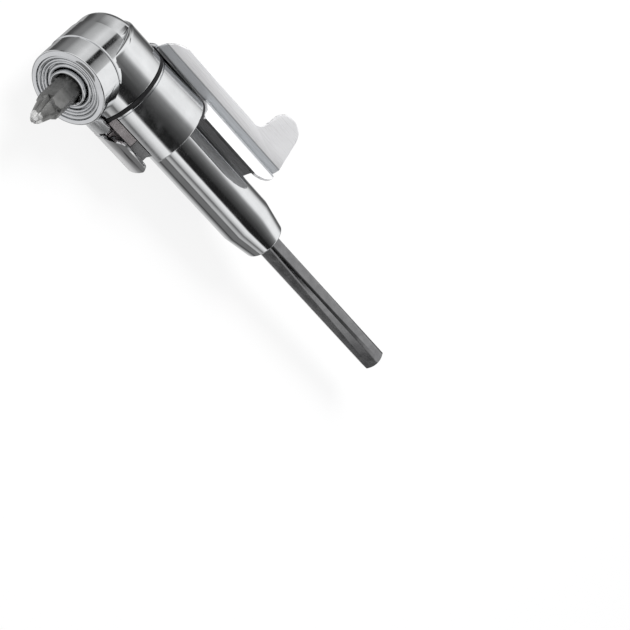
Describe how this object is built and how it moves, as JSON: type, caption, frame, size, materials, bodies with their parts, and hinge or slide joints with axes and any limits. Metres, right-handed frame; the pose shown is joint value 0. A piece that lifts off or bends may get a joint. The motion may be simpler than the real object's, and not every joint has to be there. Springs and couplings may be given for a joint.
{
  "type": "drill angle adapter",
  "caption": "Angle adapter with a hexagon shank, a slim chromed body, a bevel gear head that turns a screwdriver bit at 105 degrees, and a swivelling sheet-metal finger handle.",
  "frame": {"origin": "centre of the free end of the hexagon shank", "axes": "+X along the shank to the head, +Y the side the bit leaves towards, +Z square to the plane of the shank's axis and the bit's axis"},
  "size_m": [0.1358, 0.0487, 0.0341],
  "materials": {
    "head_chrome": "polished plating",
    "sleeve_chrome": "polished plating",
    "collar_chrome": "polished plating",
    "saddle_sheet": "bright sheet",
    "handle_sheet": "bright sheet",
    "lever_chrome": "polished plating",
    "spindle_chrome": "polished plating",
    "shank_black": "satin, blackened",
    "bit_grey": "matte, phosphated",
    "bush_steel": "turned",
    "rivet_steel": "bright",
    "inner_steel": "machined",
    "bracket_grey": "satin, plated",
    "shoe_grey": "matte, moulded",
    "seal_black": "matte",
    "bronze": "sintered",
    "magnet_nickel": "nickel plated"
  },
  "bodies": {
    "housing": {"gear_head": "head_chrome", "body_sleeve": "sleeve_chrome", "seal_ring": "seal_black", "shaft_bush_front": "bronze", "shaft_bush_rear": "bronze", "output_bush": "bush_steel", "front_retaining_ring": "bush_steel", "collar_circlip": "inner_steel", "sleeve_pin_1": "inner_steel", "sleeve_pin_2": "inner_steel"},
    "input": {"input_shaft": "shank_black", "bevel_pinion": "inner_steel", "pinion_pin": "inner_steel", "pinion_washer": "bronze", "shaft_circlip": "inner_steel"},
    "spindle": {"output_spindle": "spindle_chrome", "bevel_gear": "inner_steel", "gear_washer": "bronze", "bit_magnet": "magnet_nickel", "spindle_nose_ring": "spindle_chrome"},
    "bit": {"screwdriver_bit": "bit_grey"},
    "handle": {"swivel_collar": "collar_chrome", "clamp_saddle": "saddle_sheet", "handle_plate": "handle_sheet", "handle_rivet_1": "rivet_steel", "handle_rivet_2": "rivet_steel", "handle_rivet_3": "rivet_steel", "handle_rivet_4": "rivet_steel", "lever_bracket": "bracket_grey", "brake_shoe": "shoe_grey", "lever_pin": "inner_steel"},
    "lever": {"lock_lever": "lever_chrome"}
  },
  "joints": [
    {"name": "input_spin", "type": "hinge", "parent": "housing", "child": "input", "pos_m": [0.122, 0, 0], "axis": [-1, 0, 0], "continuous": true},
    {"name": "output_spin", "type": "hinge", "parent": "housing", "child": "spindle", "pos_m": [0.122, 0, 0], "axis": [0.2588, 0.9659, 0], "continuous": true},
    {"name": "bit_pull", "type": "slide", "parent": "spindle", "child": "bit", "axis": [0.2588, 0.9659, 0], "range_m": [0, 0.012]},
    {"name": "handle_swivel", "type": "hinge", "parent": "housing", "child": "handle", "pos_m": [0.122, 0, 0], "axis": [-1, 0, 0], "continuous": true},
    {"name": "lever_open", "type": "hinge", "parent": "handle", "child": "lever", "pos_m": [0.105, 0.00777, -0.0075], "axis": [0, -0.6947, -0.7193], "range_deg": [0, 45]}
  ],
  "couplings": [
    {"joint": "output_spin", "follows": "input_spin", "ratio": -1}
  ]
}
